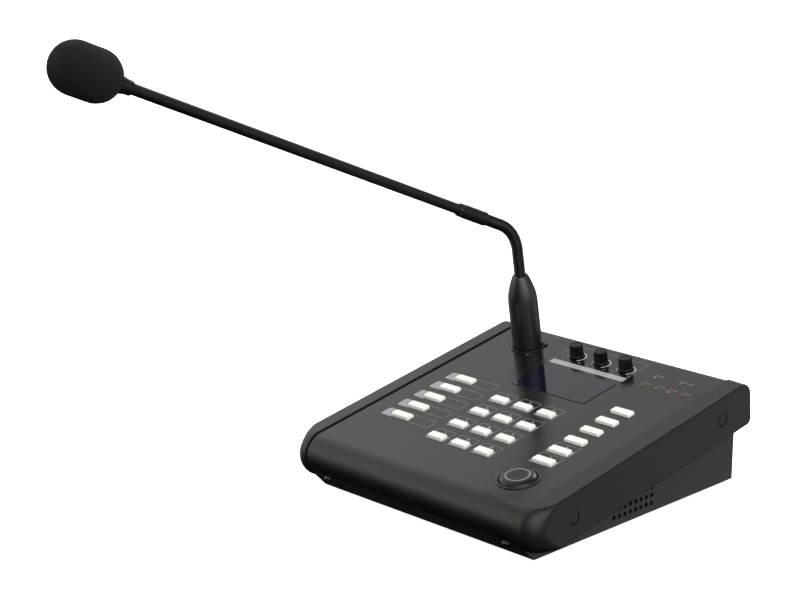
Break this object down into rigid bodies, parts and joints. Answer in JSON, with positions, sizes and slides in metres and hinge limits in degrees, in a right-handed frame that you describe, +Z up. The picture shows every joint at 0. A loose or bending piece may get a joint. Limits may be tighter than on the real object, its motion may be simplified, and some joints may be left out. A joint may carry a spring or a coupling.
{
  "type": "network desk microphone",
  "caption": "Desktop paging microphone: a wedge-shaped console with a display, keypad, side keys, volume knobs and a talk button, and a plug-in gooseneck microphone with a foam windscreen.",
  "frame": {"origin": "on the desk, at the centre of the four rubber feet", "axes": "+Z up, +Y to the back of the console (away from the person who speaks), +X to that person's right"},
  "size_m": [0.2121, 0.3783, 0.2993],
  "materials": {
    "cover_paint": "semi-gloss dark grey paint on steel sheet",
    "chassis_paint": "fine-textured dark brown-grey paint on steel sheet",
    "cap_paint": "moulded plastic, painted the grey of the panel",
    "screw_black": "black oxide steel",
    "screw_steel": "zinc-plated steel",
    "foot_rubber": "matt black rubber",
    "window_glass": "tinted clear plastic",
    "lcd_panel": "dark display with a steel frame",
    "circuit_board": "green solder resist on glass-fibre board",
    "switch_plastic": "black moulded plastic",
    "led_lens": "coloured clear lenses: green, amber, red and clear",
    "bezel_plastic": "dark grey plastic",
    "socket_plastic": "black glass-filled plastic",
    "ring_metal": "black painted ring",
    "standoff_brass": "plain brass",
    "jack_plastic": "black plastic",
    "ribbon_plastic": "grey ribbon cable",
    "key_plastic": "ivory moulded plastic",
    "talk_plastic": "dark grey plastic with a pale printed ring",
    "tab_plastic": "black plastic",
    "knob_plastic": "black moulded plastic with a fluted grip",
    "shaft_metal": "plain turned aluminium",
    "plug_metal": "satin black painted shell",
    "gooseneck_metal": "satin black spiral-wound steel",
    "collar_metal": "black anodised",
    "tube_metal": "satin black anodised tube",
    "head_metal": "black anodised",
    "foam": "matt black open-cell foam"
  },
  "bodies": {
    "console": {"top_cover": "cover_paint", "bottom_chassis": "chassis_paint", "left_side_cap": "cap_paint", "right_side_cap": "cap_paint", "side_cap_screws": "screw_black", "cover_screws": "screw_black", "rubber_feet": "foot_rubber", "display_window": "window_glass", "lcd_module": "lcd_panel", "main_board": "circuit_board", "key_board": "circuit_board", "key_switches": "switch_plastic", "status_leds": "led_lens", "volume_pots": "switch_plastic", "talk_bezel": "bezel_plastic", "mic_socket": "socket_plastic", "mic_socket_plate": "chassis_paint", "mic_socket_ring": "ring_metal", "board_standoffs": "standoff_brass", "board_screws": "screw_steel", "network_jack": "jack_plastic", "board_ribbon": "ribbon_plastic"},
    "plug": {"mic_plug": "plug_metal"},
    "gooseneck_base": {"gooseneck_lower": "gooseneck_metal"},
    "arm": {"gooseneck_upper": "gooseneck_metal", "tube_collar": "collar_metal", "mic_tube": "tube_metal", "capsule_housing": "head_metal", "windscreen": "foam"},
    "release_tab": {"mic_release_tab": "tab_plastic"},
    "talk": {"talk_button": "talk_plastic"},
    "knob_left": {"volume_knob_left": "knob_plastic", "pot_shaft_left": "shaft_metal"},
    "knob_middle": {"volume_knob_middle": "knob_plastic", "pot_shaft_middle": "shaft_metal"},
    "knob_right": {"volume_knob_right": "knob_plastic", "pot_shaft_right": "shaft_metal"},
    "zone_key_1": {"zone_key_1": "key_plastic"},
    "zone_key_2": {"zone_key_2": "key_plastic"},
    "zone_key_3": {"zone_key_3": "key_plastic"},
    "zone_key_4": {"zone_key_4": "key_plastic"},
    "zone_key_5": {"zone_key_5": "key_plastic"},
    "digit_key_1": {"digit_key_1": "key_plastic"},
    "digit_key_2": {"digit_key_2": "key_plastic"},
    "digit_key_3": {"digit_key_3": "key_plastic"},
    "digit_key_4": {"digit_key_4": "key_plastic"},
    "digit_key_5": {"digit_key_5": "key_plastic"},
    "digit_key_6": {"digit_key_6": "key_plastic"},
    "digit_key_7": {"digit_key_7": "key_plastic"},
    "digit_key_8": {"digit_key_8": "key_plastic"},
    "digit_key_9": {"digit_key_9": "key_plastic"},
    "digit_key_star": {"digit_key_star": "key_plastic"},
    "digit_key_0": {"digit_key_0": "key_plastic"},
    "digit_key_hash": {"digit_key_hash": "key_plastic"},
    "function_key_1": {"function_key_1": "key_plastic"},
    "function_key_2": {"function_key_2": "key_plastic"},
    "function_key_3": {"function_key_3": "key_plastic"},
    "function_key_4": {"function_key_4": "key_plastic"},
    "function_key_5": {"function_key_5": "key_plastic"},
    "function_key_6": {"function_key_6": "key_plastic"}
  },
  "joints": [
    {"name": "mic_bend", "type": "hinge", "parent": "gooseneck_base", "child": "arm", "pos_m": [-0.05792, 0.0446, 0.14488], "axis": [0.9907, -0.1336, -0.0237], "range_deg": [-50, 30]},
    {"name": "mic_swing", "type": "hinge", "parent": "plug", "child": "gooseneck_base", "pos_m": [-0.0575, 0.0539, 0.10982], "axis": [0, -0.1747, 0.9846], "range_deg": [-90, 90]},
    {"name": "mic_unplug", "type": "slide", "parent": "console", "child": "plug", "axis": [0, -0.1747, 0.9846], "range_m": [0, 0.03]},
    {"name": "release_tab_press", "type": "slide", "parent": "console", "child": "release_tab", "axis": [0, 0.1747, -0.9846], "range_m": [0, 0.0015], "stiffness_N_per_m": 150, "springref_m": -0.001},
    {"name": "talk_press", "type": "slide", "parent": "console", "child": "talk", "axis": [0, 0.1747, -0.9846], "range_m": [0, 0.0012], "stiffness_N_per_m": 200, "springref_m": -0.001},
    {"name": "volume_turn_left", "type": "hinge", "parent": "console", "child": "knob_left", "pos_m": [-0.0181, 0.06551, 0.06617], "axis": [0, -0.1747, 0.9846], "range_deg": [-150, 150]},
    {"name": "volume_turn_middle", "type": "hinge", "parent": "console", "child": "knob_middle", "pos_m": [0.0022, 0.06551, 0.06617], "axis": [0, -0.1747, 0.9846], "range_deg": [-150, 150]},
    {"name": "volume_turn_right", "type": "hinge", "parent": "console", "child": "knob_right", "pos_m": [0.0225, 0.06551, 0.06617], "axis": [0, -0.1747, 0.9846], "range_deg": [-150, 150]},
    {"name": "zone_key_1_press", "type": "slide", "parent": "console", "child": "zone_key_1", "axis": [0, 0.1747, -0.9846], "range_m": [0, 0.0008], "stiffness_N_per_m": 150, "springref_m": -0.001},
    {"name": "zone_key_2_press", "type": "slide", "parent": "console", "child": "zone_key_2", "axis": [0, 0.1747, -0.9846], "range_m": [0, 0.0008], "stiffness_N_per_m": 150, "springref_m": -0.001},
    {"name": "zone_key_3_press", "type": "slide", "parent": "console", "child": "zone_key_3", "axis": [0, 0.1747, -0.9846], "range_m": [0, 0.0008], "stiffness_N_per_m": 150, "springref_m": -0.001},
    {"name": "zone_key_4_press", "type": "slide", "parent": "console", "child": "zone_key_4", "axis": [0, 0.1747, -0.9846], "range_m": [0, 0.0008], "stiffness_N_per_m": 150, "springref_m": -0.001},
    {"name": "zone_key_5_press", "type": "slide", "parent": "console", "child": "zone_key_5", "axis": [0, 0.1747, -0.9846], "range_m": [0, 0.0008], "stiffness_N_per_m": 150, "springref_m": -0.001},
    {"name": "digit_key_1_press", "type": "slide", "parent": "console", "child": "digit_key_1", "axis": [0, 0.1747, -0.9846], "range_m": [0, 0.0008], "stiffness_N_per_m": 150, "springref_m": -0.001},
    {"name": "digit_key_2_press", "type": "slide", "parent": "console", "child": "digit_key_2", "axis": [0, 0.1747, -0.9846], "range_m": [0, 0.0008], "stiffness_N_per_m": 150, "springref_m": -0.001},
    {"name": "digit_key_3_press", "type": "slide", "parent": "console", "child": "digit_key_3", "axis": [0, 0.1747, -0.9846], "range_m": [0, 0.0008], "stiffness_N_per_m": 150, "springref_m": -0.001},
    {"name": "digit_key_4_press", "type": "slide", "parent": "console", "child": "digit_key_4", "axis": [0, 0.1747, -0.9846], "range_m": [0, 0.0008], "stiffness_N_per_m": 150, "springref_m": -0.001},
    {"name": "digit_key_5_press", "type": "slide", "parent": "console", "child": "digit_key_5", "axis": [0, 0.1747, -0.9846], "range_m": [0, 0.0008], "stiffness_N_per_m": 150, "springref_m": -0.001},
    {"name": "digit_key_6_press", "type": "slide", "parent": "console", "child": "digit_key_6", "axis": [0, 0.1747, -0.9846], "range_m": [0, 0.0008], "stiffness_N_per_m": 150, "springref_m": -0.001},
    {"name": "digit_key_7_press", "type": "slide", "parent": "console", "child": "digit_key_7", "axis": [0, 0.1747, -0.9846], "range_m": [0, 0.0008], "stiffness_N_per_m": 150, "springref_m": -0.001},
    {"name": "digit_key_8_press", "type": "slide", "parent": "console", "child": "digit_key_8", "axis": [0, 0.1747, -0.9846], "range_m": [0, 0.0008], "stiffness_N_per_m": 150, "springref_m": -0.001},
    {"name": "digit_key_9_press", "type": "slide", "parent": "console", "child": "digit_key_9", "axis": [0, 0.1747, -0.9846], "range_m": [0, 0.0008], "stiffness_N_per_m": 150, "springref_m": -0.001},
    {"name": "digit_key_star_press", "type": "slide", "parent": "console", "child": "digit_key_star", "axis": [0, 0.1747, -0.9846], "range_m": [0, 0.0008], "stiffness_N_per_m": 150, "springref_m": -0.001},
    {"name": "digit_key_0_press", "type": "slide", "parent": "console", "child": "digit_key_0", "axis": [0, 0.1747, -0.9846], "range_m": [0, 0.0008], "stiffness_N_per_m": 150, "springref_m": -0.001},
    {"name": "digit_key_hash_press", "type": "slide", "parent": "console", "child": "digit_key_hash", "axis": [0, 0.1747, -0.9846], "range_m": [0, 0.0008], "stiffness_N_per_m": 150, "springref_m": -0.001},
    {"name": "function_key_1_press", "type": "slide", "parent": "console", "child": "function_key_1", "axis": [0, 0.1747, -0.9846], "range_m": [0, 0.0008], "stiffness_N_per_m": 150, "springref_m": -0.001},
    {"name": "function_key_2_press", "type": "slide", "parent": "console", "child": "function_key_2", "axis": [0, 0.1747, -0.9846], "range_m": [0, 0.0008], "stiffness_N_per_m": 150, "springref_m": -0.001},
    {"name": "function_key_3_press", "type": "slide", "parent": "console", "child": "function_key_3", "axis": [0, 0.1747, -0.9846], "range_m": [0, 0.0008], "stiffness_N_per_m": 150, "springref_m": -0.001},
    {"name": "function_key_4_press", "type": "slide", "parent": "console", "child": "function_key_4", "axis": [0, 0.1747, -0.9846], "range_m": [0, 0.0008], "stiffness_N_per_m": 150, "springref_m": -0.001},
    {"name": "function_key_5_press", "type": "slide", "parent": "console", "child": "function_key_5", "axis": [0, 0.1747, -0.9846], "range_m": [0, 0.0008], "stiffness_N_per_m": 150, "springref_m": -0.001},
    {"name": "function_key_6_press", "type": "slide", "parent": "console", "child": "function_key_6", "axis": [0, 0.1747, -0.9846], "range_m": [0, 0.0008], "stiffness_N_per_m": 150, "springref_m": -0.001}
  ]
}
